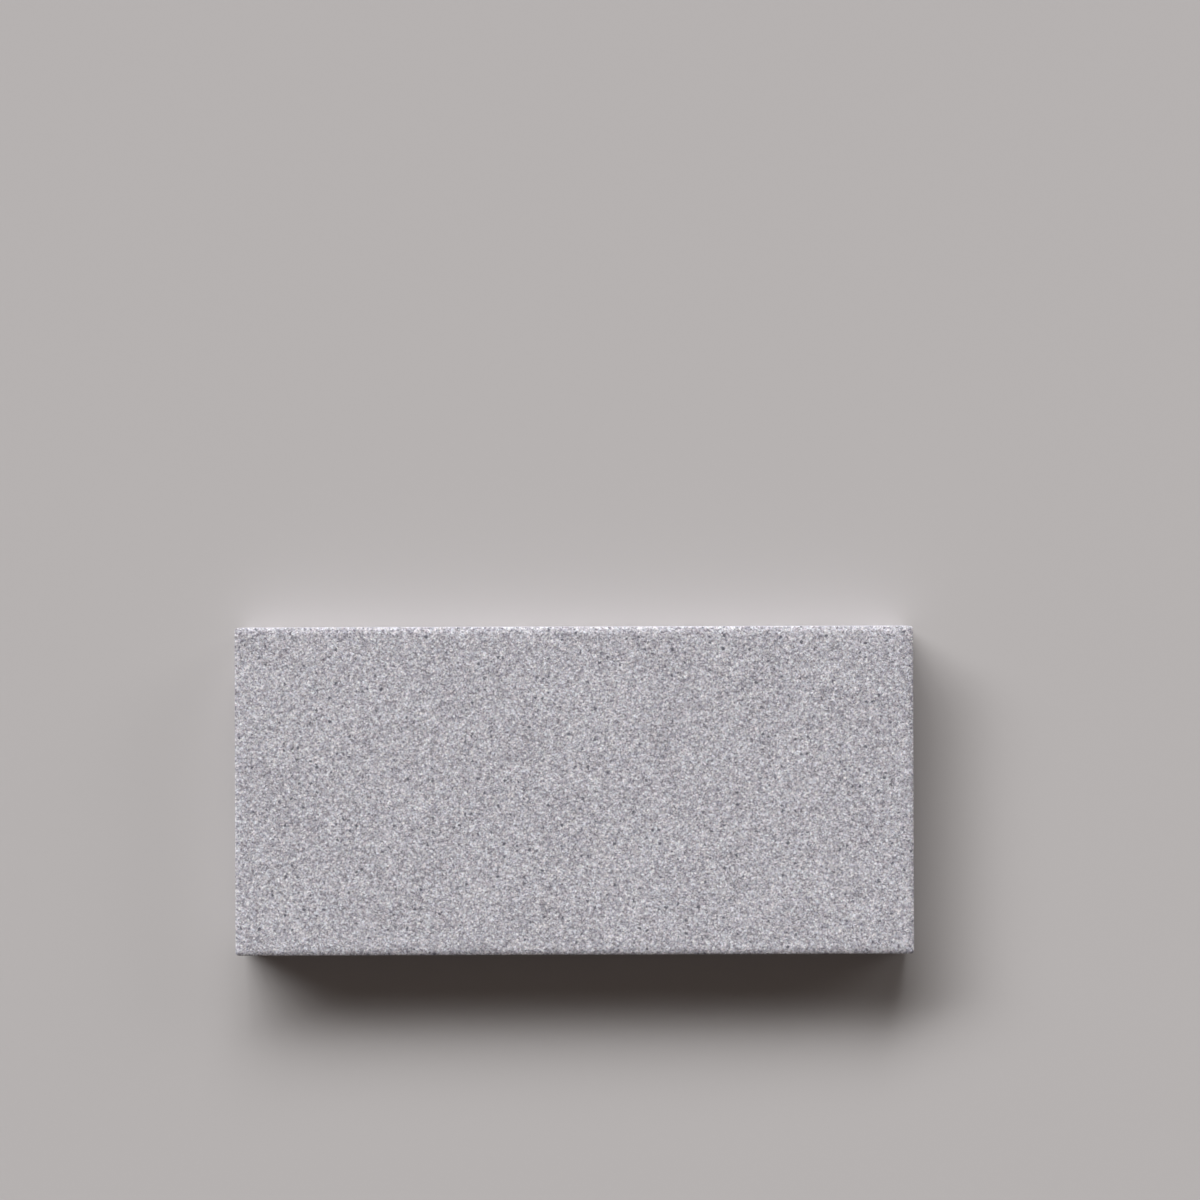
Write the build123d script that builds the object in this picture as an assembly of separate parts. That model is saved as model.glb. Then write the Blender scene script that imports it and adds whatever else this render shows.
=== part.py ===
from build123d import *
import os

# Clinker floor tile, dry pressed from one charge of clay and fired. Millimetres.
# X runs along the length, Y across the width, Z out of the wearing face.
# The origin is the middle of the underside.

# Outer sizes
tile_length = 240.0
tile_width = 116.0
tile_thickness = 18.0

# Soft edge of the wearing face: a shallow arc that meets the side at a small rounded arris
soft_edge_width = 2.6
soft_edge_drop = 0.5
arris_radius = 0.3

# Upright corners and the edge of the underside
corner_radius = 1.2
bed_edge_bevel = 0.8

# Keying grid pressed into the underside, shallow square hollows with ribs between them
hollow_side = 10.0
hollow_depth = 1.5
hollow_draft = 20.0
rib_width = 3.5
plain_border = 5.0

soft_edge_radius = (soft_edge_width**2 + soft_edge_drop**2) / (2 * soft_edge_drop)
hollow_pitch = hollow_side + rib_width


def upright_block(length, width, height, corner):
    """A block with rounded upright corners, standing on the origin."""
    block = Box(length, width, height, align=(Align.CENTER, Align.CENTER, Align.MIN))
    return fillet(block.edges().filter_by(Axis.Z), corner)


def crown():
    """A larger block whose rounded top edge, once trimmed to the tile, leaves the soft edge."""
    overhang = soft_edge_radius - soft_edge_width
    height = tile_thickness + soft_edge_radius
    block = upright_block(
        tile_length + 2 * overhang,
        tile_width + 2 * overhang,
        height,
        corner_radius + overhang,
    )
    block = fillet(block.faces().sort_by(Axis.Z)[-1].edges(), soft_edge_radius)
    return Pos(0, 0, tile_thickness - height) * block


def slab():
    """The pressed slab with its soft edge, arris and bevelled underside."""
    block = upright_block(tile_length, tile_width, tile_thickness, corner_radius)
    block = block & crown()
    sides = [face for face in block.faces() if abs(face.normal_at().Z) < 1e-6]
    arris = [side.edges().sort_by(Axis.Z)[-1] for side in sides]
    block = fillet(arris, arris_radius)
    return chamfer(block.faces().sort_by(Axis.Z)[0].edges(), bed_edge_bevel)


def hollows_along(side):
    """How many hollows fit along a side between the plain borders."""
    return int((side - 2 * plain_border + rib_width) // hollow_pitch)


def keying_hollows():
    """The hollows of the underside, widest at the underside and narrowing inwards."""
    mouth = Rectangle(hollow_side, hollow_side)
    hollow = extrude(mouth, amount=hollow_depth, taper=hollow_draft)
    places = GridLocations(
        hollow_pitch,
        hollow_pitch,
        hollows_along(tile_length),
        hollows_along(tile_width),
    )
    return [place * hollow for place in places]


tile = slab() - keying_hollows()

os.makedirs("parts", exist_ok=True)
export_step(tile, "parts/tile.step")
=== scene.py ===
import math

import bmesh
import bpy
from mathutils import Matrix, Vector


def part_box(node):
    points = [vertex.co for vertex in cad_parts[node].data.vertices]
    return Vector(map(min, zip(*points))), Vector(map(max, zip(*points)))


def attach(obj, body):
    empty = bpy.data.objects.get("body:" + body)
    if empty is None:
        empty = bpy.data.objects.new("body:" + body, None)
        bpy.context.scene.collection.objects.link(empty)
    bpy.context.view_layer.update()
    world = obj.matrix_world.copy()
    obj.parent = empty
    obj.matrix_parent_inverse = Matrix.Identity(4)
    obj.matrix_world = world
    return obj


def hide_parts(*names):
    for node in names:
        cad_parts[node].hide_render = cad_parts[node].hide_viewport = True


# The looks of a clinker floor tile, built round its solid from the shared frame. Lengths are in metres.

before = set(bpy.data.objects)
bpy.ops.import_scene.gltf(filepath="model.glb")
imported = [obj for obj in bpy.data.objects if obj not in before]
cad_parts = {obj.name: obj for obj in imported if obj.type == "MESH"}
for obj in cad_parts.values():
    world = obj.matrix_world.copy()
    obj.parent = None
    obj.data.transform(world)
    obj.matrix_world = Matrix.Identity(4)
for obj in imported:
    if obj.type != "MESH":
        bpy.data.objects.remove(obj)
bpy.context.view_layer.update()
tile_low, tile_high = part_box("tile")
MM = 0.001

# The tile's sizes, as its solid has them
TILE_LENGTH = tile_high.x - tile_low.x
TILE_WIDTH = tile_high.y - tile_low.y
TILE_THICKNESS = tile_high.z - tile_low.z
SOFT_EDGE_WIDTH = 2.6 * MM
SOFT_EDGE_DROP = 0.5 * MM
ARRIS_RADIUS = 0.3 * MM
CORNER_RADIUS = 1.2 * MM
BED_EDGE_BEVEL = 0.8 * MM
HOLLOW_SIDE = 10.0 * MM
HOLLOW_DEPTH = 1.5 * MM
HOLLOW_DRAFT = math.radians(20)
RIB_WIDTH = 3.5 * MM
PLAIN_BORDER = 5.0 * MM
HOLLOW_PITCH = HOLLOW_SIDE + RIB_WIDTH
HOLLOW_WALL = HOLLOW_DEPTH * math.tan(HOLLOW_DRAFT)
HOLLOW_COLUMNS = int((TILE_LENGTH - 2 * PLAIN_BORDER + RIB_WIDTH) // HOLLOW_PITCH)
HOLLOW_ROWS = int((TILE_WIDTH - 2 * PLAIN_BORDER + RIB_WIDTH) // HOLLOW_PITCH)

# How finely the mesh follows the edge of the tile
SOFT_EDGE_STEPS = 5
ARRIS_STEPS = 4
CORNER_STEPS = 4
SIDE_STEPS = 10

# How far the two ends of the underside's bevel are rounded
BEVEL_ROUNDING = 0.06 * MM

# Rings of points this far up the side and this far in on the underside keep the faces beyond them flat
BEVEL_GUARD = 1.05 * MM

# The walls of the hollows run out softly, this far past their mouth and their foot
HOLLOW_ROUNDING = 0.2 * MM

# The grid of the underside: how far in it starts, how far from a hollow's middle it has a line on the
# floor, and its steps across the plain border
GRID_INSET = 1.5 * MM
HOLLOW_FLOOR_LINE = 2.1 * MM
COLUMN_BORDER_STEPS = 3
ROW_BORDER_STEPS = 2

# Grid lines that are equal to this many digits are one line, and points this close are one point
LINE_DIGITS = 7
MERGE_DISTANCE = 0.0005 * MM

# Unevenness of the pressed and fired skin, always inwards from the solid
SKIN_RELIEF = 0.02 * MM
SKIN_RELIEF_SIZE = 7 * MM
SIDE_WANDER = 0.06 * MM
SIDE_WANDER_SIZE = 16 * MM
SKIN_SEED = 3.0


# The tile's mesh: rings of points round its edge, and a grid on each of its two faces


def hollow_lines(count, border_steps, end):
    """Grid lines across one side of the underside, close together at the walls of the hollows."""
    mouth = HOLLOW_SIDE / 2
    foot = mouth - HOLLOW_WALL
    steps = (
        0,
        HOLLOW_FLOOR_LINE,
        foot - HOLLOW_ROUNDING,
        foot,
        mouth - HOLLOW_WALL / 2,
        mouth,
        mouth + HOLLOW_ROUNDING,
        HOLLOW_PITCH / 2,
    )
    lines = set()
    for place in range(count):
        middle = (place - (count - 1) / 2) * HOLLOW_PITCH
        for step in steps:
            lines.add(round(middle - step, LINE_DIGITS))
            lines.add(round(middle + step, LINE_DIGITS))
    outer = count * HOLLOW_PITCH / 2
    for step in range(1, border_steps + 1):
        line = round(outer + (end - outer) * step / border_steps, LINE_DIGITS)
        lines.add(line)
        lines.add(-line)
    return sorted(lines)


COLUMN_LINES = hollow_lines(HOLLOW_COLUMNS, COLUMN_BORDER_STEPS, TILE_LENGTH / 2 - GRID_INSET)
ROW_LINES = hollow_lines(HOLLOW_ROWS, ROW_BORDER_STEPS, TILE_WIDTH / 2 - GRID_INSET)


def side_points(lines, half, share):
    """Points along one side: evenly spaced at share 0, and on the hollows' grid lines at share 1."""
    last = len(lines) - 1
    points = [-half]
    for place in range(1, last):
        even = half * (2 * place / last - 1)
        points.append(even + (lines[place] - even) * share)
    return points + [half]


def ring_points(inset, height, share):
    """One closed ring of points round the tile, inset from its outline."""
    corner = max(CORNER_RADIUS - inset, 0)
    half_length = TILE_LENGTH / 2 - inset
    half_width = TILE_WIDTH / 2 - inset
    columns = side_points(COLUMN_LINES, half_length - corner, share)
    rows = side_points(ROW_LINES, half_width - corner, share)
    sides = (
        ([(x, -half_width) for x in columns], (1, -1)),
        ([(half_length, y) for y in rows], (1, 1)),
        ([(x, half_width) for x in reversed(columns)], (-1, 1)),
        ([(-half_length, y) for y in reversed(rows)], (-1, -1)),
    )
    points = []
    for quarter, (side, sign) in enumerate(sides):
        points += side
        middle = (sign[0] * (half_length - corner), sign[1] * (half_width - corner))
        for step in range(1, CORNER_STEPS):
            angle = math.radians(90 * (quarter - 1 + step / CORNER_STEPS))
            points.append((middle[0] + corner * math.cos(angle), middle[1] + corner * math.sin(angle)))
    return [(x, y, height) for x, y in points]


def edge_section():
    """The section of the tile's edge, from the wearing face down to the underside: (inset, height)."""
    radius = (SOFT_EDGE_WIDTH**2 + SOFT_EDGE_DROP**2) / (2 * SOFT_EDGE_DROP)
    middle = TILE_THICKNESS - radius
    reach = SOFT_EDGE_WIDTH - ARRIS_RADIUS
    turn = math.asin(reach / (radius - ARRIS_RADIUS))
    arris_middle = middle + math.sqrt((radius - ARRIS_RADIUS) ** 2 - reach**2)
    section = []
    for step in range(SOFT_EDGE_STEPS):
        angle = turn * step / SOFT_EDGE_STEPS
        section.append((SOFT_EDGE_WIDTH - radius * math.sin(angle), middle + radius * math.cos(angle)))
    for step in range(ARRIS_STEPS + 1):
        angle = turn + (math.pi / 2 - turn) * step / ARRIS_STEPS
        inset = ARRIS_RADIUS * (1 - math.sin(angle))
        section.append((inset, arris_middle + ARRIS_RADIUS * math.cos(angle)))
    for step in range(1, SIDE_STEPS + 1):
        section.append((0.0, arris_middle + (BEVEL_GUARD - arris_middle) * step / SIDE_STEPS))
    section.append((BEVEL_ROUNDING, BED_EDGE_BEVEL - BEVEL_ROUNDING / 2))
    section.append((BED_EDGE_BEVEL / 2, BED_EDGE_BEVEL / 2))
    section.append((BED_EDGE_BEVEL - BEVEL_ROUNDING / 2, BEVEL_ROUNDING))
    section.append((BEVEL_GUARD, 0.0))
    section.append((GRID_INSET, 0.0))
    return section


def face_grid(mesh, inset, height, share):
    """A flat grid of squares that fills the tile inside its innermost ring."""
    columns = side_points(COLUMN_LINES, TILE_LENGTH / 2 - inset, share)
    rows = side_points(ROW_LINES, TILE_WIDTH / 2 - inset, share)
    corners = [[mesh.verts.new((x, y, height)) for x in columns] for y in rows]
    for lower, upper in zip(corners, corners[1:]):
        for place in range(len(lower) - 1):
            mesh.faces.new((lower[place], lower[place + 1], upper[place + 1], upper[place]))


def pressed_slab():
    """The tile's slab as one closed mesh, with its underside still flat."""
    mesh = bmesh.new()
    section = edge_section()
    rings = []
    for inset, height in section:
        share = min(max((TILE_THICKNESS - height) / TILE_THICKNESS, 0), 1)
        rings.append([mesh.verts.new(point) for point in ring_points(inset, height, share)])
    for upper, lower in zip(rings, rings[1:]):
        for place in range(len(upper)):
            after = (place + 1) % len(upper)
            mesh.faces.new((upper[place], lower[place], lower[after], upper[after]))
    face_grid(mesh, *section[0], share=0)
    face_grid(mesh, *section[-1], share=1)
    bmesh.ops.remove_doubles(mesh, verts=mesh.verts, dist=MERGE_DISTANCE)
    bmesh.ops.recalc_face_normals(mesh, faces=mesh.faces)
    slab = bpy.data.meshes.new("tile_skin")
    mesh.to_mesh(slab)
    mesh.free()
    return slab


# Single nodes, for the tile's geometry and for the materials


def link_or_set(tree, socket, given):
    """Links a socket to the one given, or sets it to a plain value."""
    if isinstance(given, bpy.types.NodeSocket):
        tree.links.new(given, socket)
    else:
        socket.default_value = given


def calculate(tree, operation, *values):
    """A Math node on sockets or plain numbers, and its result."""
    made = tree.nodes.new("ShaderNodeMath")
    made.operation = operation
    for socket, value in zip(made.inputs, values):
        link_or_set(tree, socket, value)
    return made.outputs[0]


def times(tree, first, second):
    """The product of two values."""
    return calculate(tree, "MULTIPLY", first, second)


def centred(tree, value, weight):
    """A value from 0 to 1, moved to lie round 0 and weighted."""
    return times(tree, calculate(tree, "SUBTRACT", value, 0.5), weight)


def map_range(tree, value, low, high, start=0.0, end=1.0, smooth=True):
    """A clamped Map Range node, and its result."""
    made = tree.nodes.new("ShaderNodeMapRange")
    made.interpolation_type = "SMOOTHSTEP" if smooth else "LINEAR"
    made.clamp = True
    names = ("Value", "From Min", "From Max", "To Min", "To Max")
    for name, given in zip(names, (value, low, high, start, end)):
        link_or_set(tree, made.inputs[name], given)
    return made.outputs["Result"]


def calculate_vectors(tree, operation, first, second):
    """A Vector Math node on two vectors, colours or plain triples, and its result."""
    made = tree.nodes.new("ShaderNodeVectorMath")
    made.operation = operation
    link_or_set(tree, made.inputs[0], first)
    link_or_set(tree, made.inputs[1], second)
    return made.outputs[0]


def scaled(tree, vector, factor):
    """A vector or colour times a value."""
    made = tree.nodes.new("ShaderNodeVectorMath")
    made.operation = "SCALE"
    tree.links.new(vector, made.inputs[0])
    link_or_set(tree, made.inputs["Scale"], factor)
    return made.outputs[0]


def vector_of(tree, x, y, z):
    """A vector made of three values."""
    made = tree.nodes.new("ShaderNodeCombineXYZ")
    for socket, value in zip(made.inputs, (x, y, z)):
        link_or_set(tree, socket, value)
    return made.outputs[0]


def axes_of(tree, vector):
    """A vector's three values, by the names X, Y and Z."""
    made = tree.nodes.new("ShaderNodeSeparateXYZ")
    tree.links.new(vector, made.inputs[0])
    return made.outputs


def soft_noise(tree, vector, size, detail=2.0, seed=None):
    """A noise of the given feature size: its value from about 0 to 1, and its colour.

    A seed picks another noise of the same kind.
    """
    made = tree.nodes.new("ShaderNodeTexNoise")
    if seed is not None:
        made.noise_dimensions = "4D"
        tree.links.new(seed, made.inputs["W"])
    made.inputs["Detail"].default_value = detail
    tree.links.new(vector, made.inputs["Vector"])
    tree.links.new(calculate(tree, "DIVIDE", 1.0, size), made.inputs["Scale"])
    return made.outputs[0], made.outputs[1]


def cells(tree, vector, size):
    """Cells of the given size: how far away a cell's middle is, and the cell's three values by chance."""
    made = tree.nodes.new("ShaderNodeTexVoronoi")
    tree.links.new(vector, made.inputs["Vector"])
    tree.links.new(calculate(tree, "DIVIDE", 1.0, size), made.inputs["Scale"])
    split = tree.nodes.new("ShaderNodeSeparateColor")
    tree.links.new(made.outputs["Color"], split.inputs[0])
    return made.outputs["Distance"], split.outputs


def mix_colours(tree, factor, first, second):
    """A Mix node for colours, and its result."""
    made = tree.nodes.new("ShaderNodeMix")
    made.data_type = "RGBA"
    made.clamp_factor = True
    link_or_set(tree, made.inputs[0], factor)
    link_or_set(tree, made.inputs[6], first)
    link_or_set(tree, made.inputs[7], second)
    return made.outputs[2]


# Geometry nodes that press the keying hollows and give the skin its unevenness


SKIN_VALUES = {
    "Hollow Pitch": HOLLOW_PITCH,
    "Hollow Mouth": HOLLOW_SIDE / 2 + HOLLOW_ROUNDING,
    "Hollow Floor": HOLLOW_SIDE / 2 - HOLLOW_WALL - HOLLOW_ROUNDING,
    "Hollow Depth": HOLLOW_DEPTH,
    "Columns": float(HOLLOW_COLUMNS),
    "Rows": float(HOLLOW_ROWS),
    "Half Thickness": TILE_THICKNESS / 2,
    "Relief": SKIN_RELIEF,
    "Relief Size": SKIN_RELIEF_SIZE,
    "Wander": SIDE_WANDER,
    "Wander Size": SIDE_WANDER_SIZE,
    "Seed": SKIN_SEED,
}


def hollow_share(tree, along, count, given):
    """How deep in a row of hollows a point lies, from 0 on the ribs to 1 on a hollow's floor.

    An even count has no hollow in the middle of the row, which moves the places by half a pitch.
    """
    pitch = given["Hollow Pitch"]
    odd = calculate(tree, "FLOORED_MODULO", count, 2.0)
    phase = times(tree, calculate(tree, "SUBTRACT", 1.0, odd), 0.5)
    reach = calculate(tree, "DIVIDE", calculate(tree, "SUBTRACT", count, 1.0), 2.0)
    place = calculate(tree, "SUBTRACT", calculate(tree, "DIVIDE", along, pitch), phase)
    place = calculate(tree, "ADD", calculate(tree, "ROUND", place), phase)
    place = calculate(tree, "MINIMUM", place, reach)
    place = calculate(tree, "MAXIMUM", place, times(tree, reach, -1.0))
    away = calculate(tree, "SUBTRACT", along, times(tree, place, pitch))
    away = calculate(tree, "ABSOLUTE", away)
    return map_range(tree, away, given["Hollow Mouth"], given["Hollow Floor"])


def moved_points(tree, geometry, offset):
    """The geometry with its points moved by an offset."""
    made = tree.nodes.new("GeometryNodeSetPosition")
    tree.links.new(geometry, made.inputs["Geometry"])
    tree.links.new(offset, made.inputs["Offset"])
    return made.outputs[0]


def with_attribute(tree, geometry, name, value):
    """The geometry with a value stored on its points under a name."""
    made = tree.nodes.new("GeometryNodeStoreNamedAttribute")
    made.data_type = "FLOAT"
    made.domain = "POINT"
    made.inputs["Name"].default_value = name
    tree.links.new(geometry, made.inputs["Geometry"])
    tree.links.new(value, made.inputs["Value"])
    return made.outputs[0]


def pressed_skin_tree():
    """Geometry nodes: press the hollows into the slab's underside and make its skin uneven."""
    tree = bpy.data.node_groups.new("pressed_skin", "GeometryNodeTree")
    tree.is_modifier = True
    tree.interface.new_socket("Geometry", in_out="INPUT", socket_type="NodeSocketGeometry")
    for name in SKIN_VALUES:
        tree.interface.new_socket(name, in_out="INPUT", socket_type="NodeSocketFloat")
    tree.interface.new_socket("Material", in_out="INPUT", socket_type="NodeSocketMaterial")
    tree.interface.new_socket("Geometry", in_out="OUTPUT", socket_type="NodeSocketGeometry")
    given = tree.nodes.new("NodeGroupInput").outputs
    result = tree.nodes.new("NodeGroupOutput")

    # Hollows, on the lower half of the tile only
    position = tree.nodes.new("GeometryNodeInputPosition").outputs[0]
    place = axes_of(tree, position)
    across = hollow_share(tree, place["X"], given["Columns"], given)
    up = hollow_share(tree, place["Y"], given["Rows"], given)
    under = calculate(tree, "LESS_THAN", place["Z"], given["Half Thickness"])
    press = times(tree, times(tree, across, up), under)
    lift = vector_of(tree, 0.0, 0.0, times(tree, press, given["Hollow Depth"]))
    hollowed = moved_points(tree, given["Geometry"], lift)

    # Relief everywhere, and a slow wander on the sides
    normal = tree.nodes.new("GeometryNodeInputNormal").outputs[0]
    facing = axes_of(tree, normal)["Z"]
    upright = calculate(tree, "SUBTRACT", 1.0, calculate(tree, "ABSOLUTE", facing))
    relief = soft_noise(tree, position, given["Relief Size"], 1.0, given["Seed"])[0]
    relief = times(tree, relief, given["Relief"])
    wander = soft_noise(tree, position, given["Wander Size"], 0.0, given["Seed"])[0]
    wander = times(tree, times(tree, wander, given["Wander"]), upright)
    inwards = times(tree, calculate(tree, "ADD", relief, wander), -1.0)
    uneven = moved_points(tree, hollowed, scaled(tree, normal, inwards))

    # Where the material shows the underside and the sides
    bed = calculate(tree, "LESS_THAN", facing, -0.5)
    side = map_range(tree, upright, 0.5, 0.9)
    masked = with_attribute(tree, uneven, "bed_side", bed)
    masked = with_attribute(tree, masked, "pressed_side", side)

    smooth = tree.nodes.new("GeometryNodeSetShadeSmooth")
    real = tree.nodes.new("GeometryNodeRealizeInstances")
    finish = tree.nodes.new("GeometryNodeSetMaterial")
    tree.links.new(masked, smooth.inputs[0])
    tree.links.new(smooth.outputs[0], real.inputs[0])
    tree.links.new(real.outputs[0], finish.inputs["Geometry"])
    tree.links.new(given["Material"], finish.inputs["Material"])
    tree.links.new(finish.outputs[0], result.inputs[0])
    return tree


def set_modifier_inputs(modifier, values):
    """Sets a geometry nodes modifier's inputs by name."""
    for item in modifier.node_group.interface.items_tree:
        if item.item_type == "SOCKET" and item.in_out == "INPUT" and item.name in values:
            modifier[item.identifier] = values[item.name]


def made_real(piece):
    """Turns a piece with live modifiers into a plain mesh."""
    graph = bpy.context.evaluated_depsgraph_get()
    mesh = bpy.data.meshes.new_from_object(piece.evaluated_get(graph))
    piece.modifiers.clear()
    piece.data = mesh


# Materials


# The fired body: its colour, the size of its grains, how much they differ in tone on the face and on the
# sides, how much in hue, and how much the tone clouds over larger places
CLINKER_BODY = (0.43, 0.415, 0.447, 1)
GRAIN_SIZE = 0.57 * MM
FACE_CONTRAST = 0.31
SIDE_CONTRAST = 0.195
HUE_SPREAD = 0.088
CLOUDING = 0.18

# Cells of three sizes add up to the grains. Each has its share of the grain size, its weight in the tone,
# and a shift that keeps it from lining up with the others
GRAIN_LAYERS = (
    (0.8, 2.55, (0.0, 0.0, 0.0)),
    (1.0, 2.25, (0.031, 0.017, 0.023)),
    (1.6, 1.6, (0.013, 0.027, 0.041)),
)

# How far the outlines of the grains are stirred, the size of the powder between them, and the size of the
# clouds, all in grain sizes
OUTLINE_STIR = 0.5
POWDER_SIZE = 0.22
CLOUD_SIZE = 40.0

# What the powder adds to the tone, and to the height of the skin
POWDER_TONE = 1.6
POWDER_HEIGHT = 0.25

# The root of the middle tone, at which the body keeps its own colour on average
MIDDLE_TONE_ROOT = 0.985

# Red and blue follow the tone with these powers, which makes pale grains a little warmer than dark ones
RED_POWER = 0.97
BLUE_POWER = 0.94

# A few grains are much darker. A share of some wide cells holds one each. Cell and stir are in grain
# sizes, the reach is a share of the cell, the core a share of the reach, and the cover hides the body
DARK_GRAIN = (0.07, 0.07, 0.09, 1)
DARK_SHARE = 0.3
DARK_CELL = 4.0
DARK_STIR = 2.2
DARK_REACH = (0.17, 0.32)
DARK_CORE = 0.7
DARK_COVER = 0.85

# Upright drag marks of the die on the sides: their width, the ratio of width to length, and the least and
# the most that they darken the body. The darkening is partly a darker pressed skin and partly painted
# shade, which keeps the side that faces the low lamp from glaring.
DRAG_MARK_WIDTH = 1.1 * MM
DRAG_MARK_RATIO = 0.06
DRAG_MARK_AND_PAINTED_SHADE = (0.13, 0.26)

# Thin dust that the underside keeps from the kiln: its colour, the size of its patches, and the least and
# the most that they cover
BED_DUST = (0.47, 0.44, 0.43, 1)
BED_DUST_SIZE = 5 * MM
BED_DUST_COVER = (0.15, 0.55)

# Fine bumps of the fired skin, and its roughness where the tone is dark and where it is pale
BUMP_STRENGTH = 0.5
BUMP_DISTANCE = 0.06 * MM
DARK_TONE_ROUGHNESS = 0.88
PALE_TONE_ROUGHNESS = 0.7

# The matt floor
FLOOR_COLOUR = (0.48, 0.457, 0.45, 1)
FLOOR_ROUGHNESS = 0.95
FLOOR_GLOSS = 0.1


def new_material(name):
    """An empty material: itself, its node tree and its output node."""
    material = bpy.data.materials.new(name)
    material.use_nodes = True
    material.node_tree.nodes.clear()
    return material, material.node_tree, material.node_tree.nodes.new("ShaderNodeOutputMaterial")


def new_group(name, inputs, outputs):
    """An empty shader node group with named sockets: itself, its inputs and its output node."""
    group = bpy.data.node_groups.new(name, "ShaderNodeTree")
    for label, kind in inputs:
        group.interface.new_socket(label, in_out="INPUT", socket_type=kind)
    for label, kind in outputs:
        group.interface.new_socket(label, in_out="OUTPUT", socket_type=kind)
    return group, group.nodes.new("NodeGroupInput").outputs, group.nodes.new("NodeGroupOutput")


def surface_attribute(tree, name):
    """A value that the tile's mesh carries."""
    made = tree.nodes.new("ShaderNodeAttribute")
    made.attribute_name = name
    return made.outputs["Fac"]


def grain_layers(group, vector, size):
    """The three values by chance of each layer's cells, with the layer's weight in the tone."""
    layers = []
    for share, weight, shift in GRAIN_LAYERS:
        shifted = calculate_vectors(group, "ADD", vector, shift)
        chance = cells(group, shifted, times(group, size, share))[1]
        layers.append((chance, weight))
    return layers


def grain_tone(group, given, layers, powder):
    """How pale each grain is, where 1 is the body's own colour.

    It is worked out as a root and then squared, which balances pale and dark grains to the eye.
    """
    tone = 0.0
    for chance, weight in layers:
        tone = calculate(group, "ADD", tone, centred(group, chance[0], weight))
    tone = calculate(group, "ADD", tone, centred(group, powder, POWDER_TONE))
    cloud = soft_noise(group, given["Vector"], times(group, given["Grain Size"], CLOUD_SIZE))[0]
    cloud = centred(group, cloud, given["Clouding"])
    tone = calculate(group, "ADD", times(group, tone, given["Contrast"]), cloud)
    root = calculate(group, "ADD", times(group, tone, 0.5), MIDDLE_TONE_ROOT)
    return calculate(group, "POWER", root, 2.0)


def grain_colour(group, given, chance, tone):
    """The body's colour with the tone of each grain, which leans a little warm, cool, green or pink."""
    warm = centred(group, chance[1], given["Hue Spread"])
    green = centred(group, chance[2], given["Hue Spread"])
    hue = vector_of(
        group,
        calculate(group, "ADD", 1.0, warm),
        calculate(group, "ADD", 1.0, green),
        calculate(group, "SUBTRACT", 1.0, warm),
    )
    shade = vector_of(
        group,
        calculate(group, "POWER", tone, RED_POWER),
        tone,
        calculate(group, "POWER", tone, BLUE_POWER),
    )
    tinted = calculate_vectors(group, "MULTIPLY", given["Body"], hue)
    return calculate_vectors(group, "MULTIPLY", tinted, shade)


def dark_grains(group, given, stir):
    """Where the few dark grains lie, as a mask: ragged spots, each as wide as chance makes it."""
    size = given["Grain Size"]
    ragged = scaled(group, stir, times(group, size, DARK_STIR))
    ragged = calculate_vectors(group, "ADD", given["Vector"], ragged)
    away, chance = cells(group, ragged, times(group, size, DARK_CELL))
    there = calculate(group, "LESS_THAN", chance[0], given["Dark Share"])
    reach = map_range(group, chance[1], 0.0, 1.0, *DARK_REACH, smooth=False)
    spot = map_range(group, away, times(group, reach, DARK_CORE), reach, 1.0, 0.0)
    return times(group, times(group, spot, there), DARK_COVER)


def fired_grain_group():
    """Salt and pepper grain of a dry pressed, fired body: pale, grey and dark grains in one another."""
    group, given, result = new_group(
        "fired_grain",
        (
            ("Vector", "NodeSocketVector"),
            ("Grain Size", "NodeSocketFloat"),
            ("Body", "NodeSocketColor"),
            ("Contrast", "NodeSocketFloat"),
            ("Hue Spread", "NodeSocketFloat"),
            ("Dark Grain", "NodeSocketColor"),
            ("Dark Share", "NodeSocketFloat"),
            ("Clouding", "NodeSocketFloat"),
        ),
        (
            ("Color", "NodeSocketColor"),
            ("Tone", "NodeSocketFloat"),
            ("Height", "NodeSocketFloat"),
        ),
    )
    size = given["Grain Size"]

    # Grains are not straight-sided, so the places of the cells are stirred a little
    stir = soft_noise(group, given["Vector"], size, 1.0)[1]
    stir = calculate_vectors(group, "SUBTRACT", stir, (0.5, 0.5, 0.5))
    stirred = scaled(group, stir, times(group, size, OUTLINE_STIR))
    stirred = calculate_vectors(group, "ADD", given["Vector"], stirred)
    powder = soft_noise(group, given["Vector"], times(group, size, POWDER_SIZE), 1.0)[0]

    layers = grain_layers(group, stirred, size)
    tone = grain_tone(group, given, layers, powder)
    body = grain_colour(group, given, layers[0][0], tone)
    dark = dark_grains(group, given, stir)
    group.links.new(mix_colours(group, dark, body, given["Dark Grain"]), result.inputs["Color"])
    group.links.new(tone, result.inputs["Tone"])

    height = soft_noise(group, stirred, size)[0]
    height = calculate(group, "ADD", height, times(group, powder, POWDER_HEIGHT))
    group.links.new(height, result.inputs["Height"])
    return group


def drag_marks_and_painted_side_shade(tree, place, colour, side):
    """The colour, darkened on the sides in upright marks that the die left. Part of this darkening is
    painted shade that tones down the side facing the low lamp.
    """
    upright = tree.nodes.new("ShaderNodeMapping")
    upright.inputs["Scale"].default_value = (1, 1, DRAG_MARK_RATIO)
    tree.links.new(place, upright.inputs["Vector"])
    marks = soft_noise(tree, upright.outputs[0], DRAG_MARK_WIDTH, 3.0)[0]
    # The sides are darkened partly as painted shade, so that the side facing the low lamp does not glare.
    shade = times(tree, side, map_range(tree, marks, 0.3, 0.7, *DRAG_MARK_AND_PAINTED_SHADE))
    return scaled(tree, colour, calculate(tree, "SUBTRACT", 1.0, shade))


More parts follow.
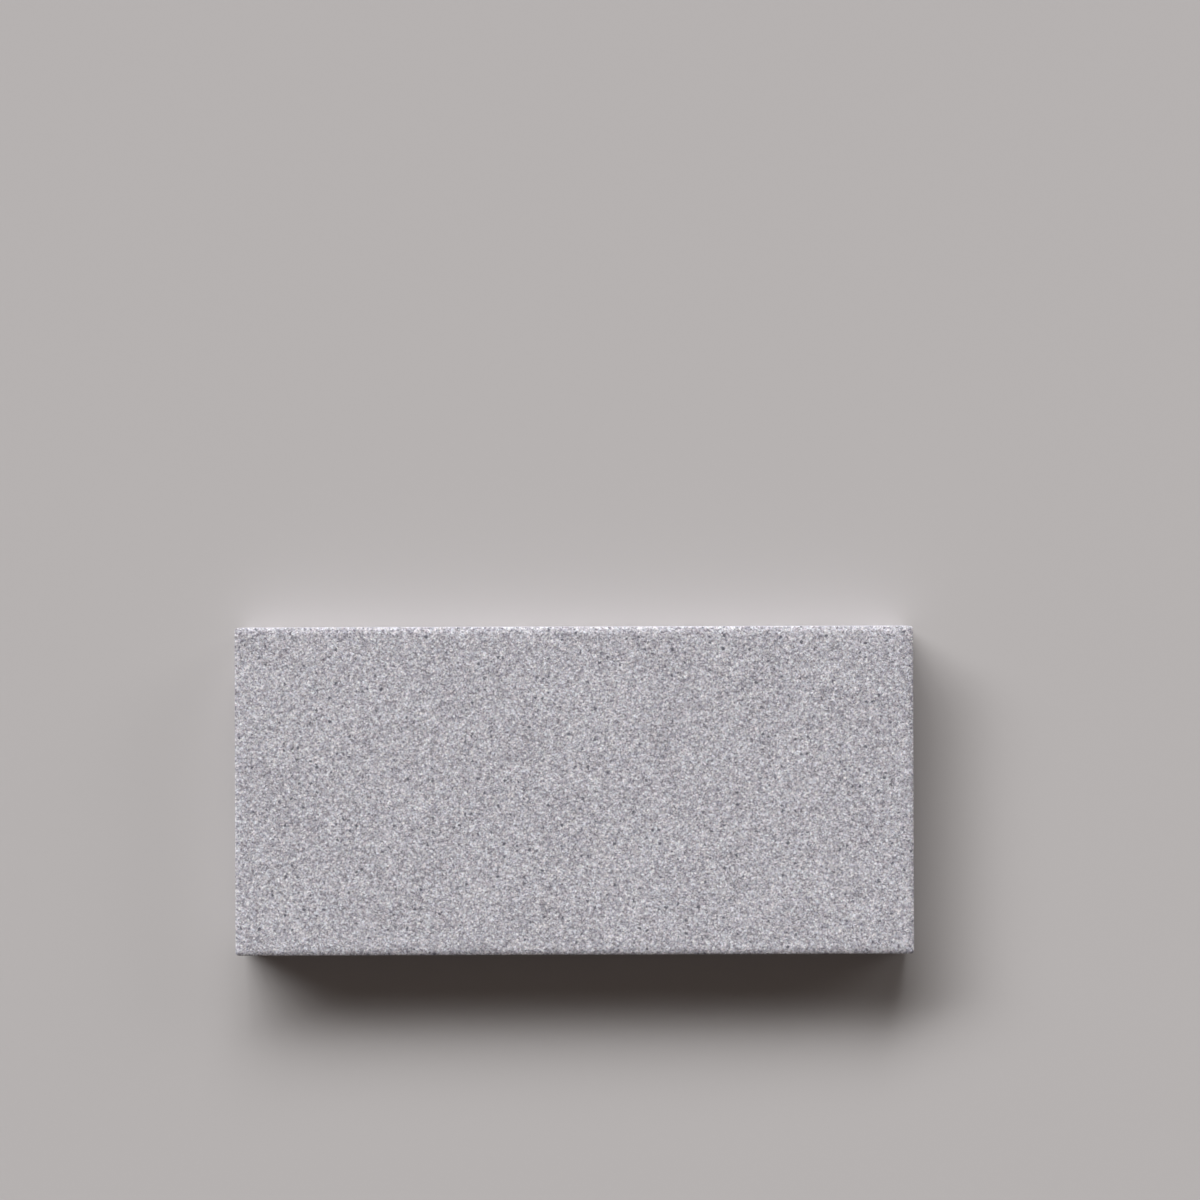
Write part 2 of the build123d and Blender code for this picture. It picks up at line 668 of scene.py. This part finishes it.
def dusty_underside(tree, place, colour):
    """The colour, under the thin dust that the underside keeps from the kiln."""
    cover = soft_noise(tree, place, BED_DUST_SIZE, 3.0)[0]
    cover = map_range(tree, cover, 0.4, 0.7, *BED_DUST_COVER)
    cover = times(tree, cover, surface_attribute(tree, "bed_side"))
    return mix_colours(tree, cover, colour, BED_DUST)


def clinker_material():
    """The fired, unglazed body of the tile."""
    material, tree, output = new_material("clinker")
    place = tree.nodes.new("ShaderNodeTexCoord").outputs["Object"]
    side = surface_attribute(tree, "pressed_side")
    grain = tree.nodes.new("ShaderNodeGroup")
    grain.node_tree = fired_grain_group()
    for name, given in (
        ("Vector", place),
        ("Grain Size", GRAIN_SIZE),
        ("Body", CLINKER_BODY),
        ("Contrast", map_range(tree, side, 0.0, 1.0, FACE_CONTRAST, SIDE_CONTRAST)),
        ("Hue Spread", HUE_SPREAD),
        ("Dark Grain", DARK_GRAIN),
        ("Dark Share", DARK_SHARE),
        ("Clouding", CLOUDING),
    ):
        link_or_set(tree, grain.inputs[name], given)
    tone = grain.outputs["Tone"]
    colour = drag_marks_and_painted_side_shade(tree, place, grain.outputs["Color"], side)
    colour = dusty_underside(tree, place, colour)

    bump = tree.nodes.new("ShaderNodeBump")
    bump.inputs["Strength"].default_value = BUMP_STRENGTH
    bump.inputs["Distance"].default_value = BUMP_DISTANCE
    tree.links.new(grain.outputs["Height"], bump.inputs["Height"])
    roughness = map_range(tree, tone, 0.6, 1.4, DARK_TONE_ROUGHNESS, PALE_TONE_ROUGHNESS)
    body = tree.nodes.new("ShaderNodeBsdfPrincipled")
    tree.links.new(colour, body.inputs["Base Color"])
    tree.links.new(roughness, body.inputs["Roughness"])
    tree.links.new(bump.outputs["Normal"], body.inputs["Normal"])
    tree.links.new(body.outputs[0], output.inputs["Surface"])
    return material


def pale_floor_material():
    """The plain matt floor under the tile."""
    material, tree, output = new_material("pale_floor")
    paint = tree.nodes.new("ShaderNodeBsdfPrincipled")
    paint.inputs["Base Color"].default_value = FLOOR_COLOUR
    paint.inputs["Roughness"].default_value = FLOOR_ROUGHNESS
    paint.inputs["Specular IOR Level"].default_value = FLOOR_GLOSS
    tree.links.new(paint.outputs[0], output.inputs["Surface"])
    return material


# The tile


def clinker_tile():
    """The tile as it shows: the slab with its hollows and its uneven skin."""
    tile = bpy.data.objects.new("clinker_tile", pressed_slab())
    bpy.context.scene.collection.objects.link(tile)
    skin = tile.modifiers.new("pressed_skin", "NODES")
    skin.node_group = pressed_skin_tree()
    set_modifier_inputs(skin, SKIN_VALUES | {"Material": clinker_material()})
    made_real(tile)
    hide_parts("tile")
    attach(tile, "root")


# Floor, light and camera


# Half the side of the square floor
FLOOR_HALF = 6.0

# How far off the windows that light the tile are, how tall they are, and the colour of their light
WINDOW_DISTANCE = 3.0
WINDOW_HEIGHT = 1.0
WHITE_LIGHT = (1.0, 1.0, 1.0)
DAYLIGHT = (0.985, 1.0, 1.015)

# Even light from all round, and what the camera sees in its place
AIR_COLOUR = (1.0, 0.83, 0.74, 1)
AIR_STRENGTH = 0.09
BACKDROP_COLOUR = (0.5, 0.48, 0.47, 1)

# Where the camera stands, from the middle of the wearing face, and its lens and sensor in millimetres
CAMERA_EAST = 9.3 * MM
CAMERA_NORTH = 67.45 * MM
CAMERA_ABOVE = 735 * MM
CAMERA_TURN = math.radians(-0.18)
CAMERA_LENS = 62.41
CAMERA_SENSOR = 36
CAMERA_NEAR_LIMIT = 10 * MM


def pale_floor():
    """A wide plain floor at the height the tile rests on."""
    mesh = bpy.data.meshes.new("floor")
    corners = [(x * FLOOR_HALF, y * FLOOR_HALF, 0) for x, y in ((-1, -1), (1, -1), (1, 1), (-1, 1))]
    mesh.from_pydata(corners, [], [(0, 1, 2, 3)])
    mesh.materials.append(pale_floor_material())
    floor = bpy.data.objects.new("floor", mesh)
    bpy.context.scene.collection.objects.link(floor)


def distant_lamp(name, direction, angle, strength, colour):
    """A lamp so far off that it lights the whole floor alike. Direction points from the tile to it."""
    data = bpy.data.lights.new(name, "SUN")
    data.angle = angle
    data.energy = strength
    data.color = colour
    lamp = bpy.data.objects.new(name, data)
    bpy.context.scene.collection.objects.link(lamp)
    lamp.rotation_euler = (-direction).to_track_quat("-Z", "Y").to_euler()


def window_light(name, azimuth, elevation, width, brightness, panes, colour=WHITE_LIGHT):
    """The light of a wide window that faces the tile, as a row of distant lamps, one for each pane.

    Azimuth is counted from +X towards +Y, and both angles are in degrees.
    """
    turn = math.radians(azimuth)
    lift = math.radians(elevation)
    level = math.cos(lift)
    middle = Vector((level * math.cos(turn), level * math.sin(turn), math.sin(lift))) * WINDOW_DISTANCE
    along = Vector((-math.sin(turn), math.cos(turn), 0))
    pane_width = width / panes
    for pane in range(panes):
        place = middle + along * width * ((pane + 0.5) / panes - 0.5)
        away = place.length
        angle = 2 * math.atan(WINDOW_HEIGHT / 2 / away)
        strength = brightness * pane_width * WINDOW_HEIGHT * WINDOW_DISTANCE / away**3
        distant_lamp(f"{name}_{pane + 1}", place, angle, strength, colour)


def studio_world():
    """Even light from all round. The camera sees a pale backdrop in its place."""
    world = bpy.data.worlds.new("studio")
    world.use_nodes = True
    tree = world.node_tree
    light = tree.nodes["Background"]
    light.inputs["Color"].default_value = AIR_COLOUR
    light.inputs["Strength"].default_value = AIR_STRENGTH
    shown = tree.nodes.new("ShaderNodeBackground")
    shown.inputs["Color"].default_value = BACKDROP_COLOUR
    ray = tree.nodes.new("ShaderNodeLightPath").outputs
    seen = calculate(tree, "MAXIMUM", ray["Is Camera Ray"], ray["Is Glossy Ray"])
    seen = calculate(tree, "MAXIMUM", seen, ray["Is Transmission Ray"])
    mixed = tree.nodes.new("ShaderNodeMixShader")
    tree.links.new(seen, mixed.inputs[0])
    tree.links.new(light.outputs[0], mixed.inputs[1])
    tree.links.new(shown.outputs[0], mixed.inputs[2])
    tree.links.new(mixed.outputs[0], tree.nodes["World Output"].inputs["Surface"])
    bpy.context.scene.world = world


def photo_camera():
    """The camera that looks straight down on the tile, as in the photograph."""
    data = bpy.data.cameras.new("camera")
    data.lens = CAMERA_LENS
    data.sensor_width = CAMERA_SENSOR
    data.clip_start = CAMERA_NEAR_LIMIT
    camera = bpy.data.objects.new("camera", data)
    bpy.context.scene.collection.objects.link(camera)
    camera.location = (CAMERA_EAST, CAMERA_NORTH, tile_high.z + CAMERA_ABOVE)
    camera.rotation_euler = (0, 0, CAMERA_TURN)
    bpy.context.scene.camera = camera


clinker_tile()
pale_floor()
window_light("window", azimuth=114, elevation=25, width=4.25, brightness=16.9, panes=7, colour=DAYLIGHT)
window_light("side_window", azimuth=35, elevation=14, width=1.5, brightness=4.3, panes=3)
window_light("low_fill", azimuth=-75, elevation=10, width=3.0, brightness=0.35, panes=1)
studio_world()
photo_camera()
bpy.context.scene.view_settings.view_transform = "Standard"
